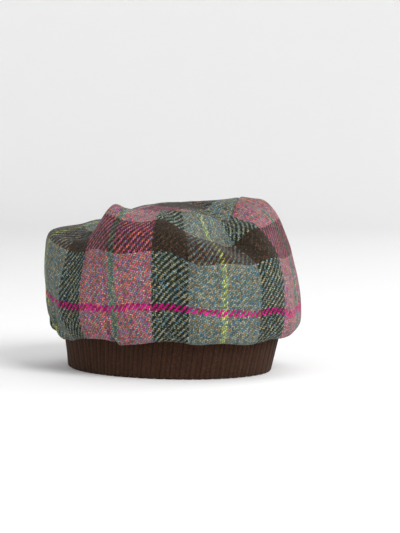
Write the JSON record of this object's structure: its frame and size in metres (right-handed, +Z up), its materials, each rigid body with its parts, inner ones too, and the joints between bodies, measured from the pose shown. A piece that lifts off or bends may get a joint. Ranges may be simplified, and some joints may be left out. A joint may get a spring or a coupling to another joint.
{
  "type": "tweed beret",
  "caption": "Soft round beret: a gathered plaid tweed crown that bulges over a close ribbed knit headband, open underneath for the head.",
  "frame": {"origin": "on the plane of the rim, under the middle of the hat's bounding box", "axes": "+Z up along the band's axis, -Y towards the hat's front, +X towards the wearer's left"},
  "size_m": [0.2092, 0.2306, 0.1536],
  "materials": {
    "rib_knit": "matte ribbed knit",
    "plaid_tweed": "woolly twill weave in a plaid of pink, teal, dark green and brown"
  },
  "bodies": {
    "root": {"rib_band": "rib_knit", "crown_side": "plaid_tweed", "crown_top": "plaid_tweed"}
  },
  "joints": []
}
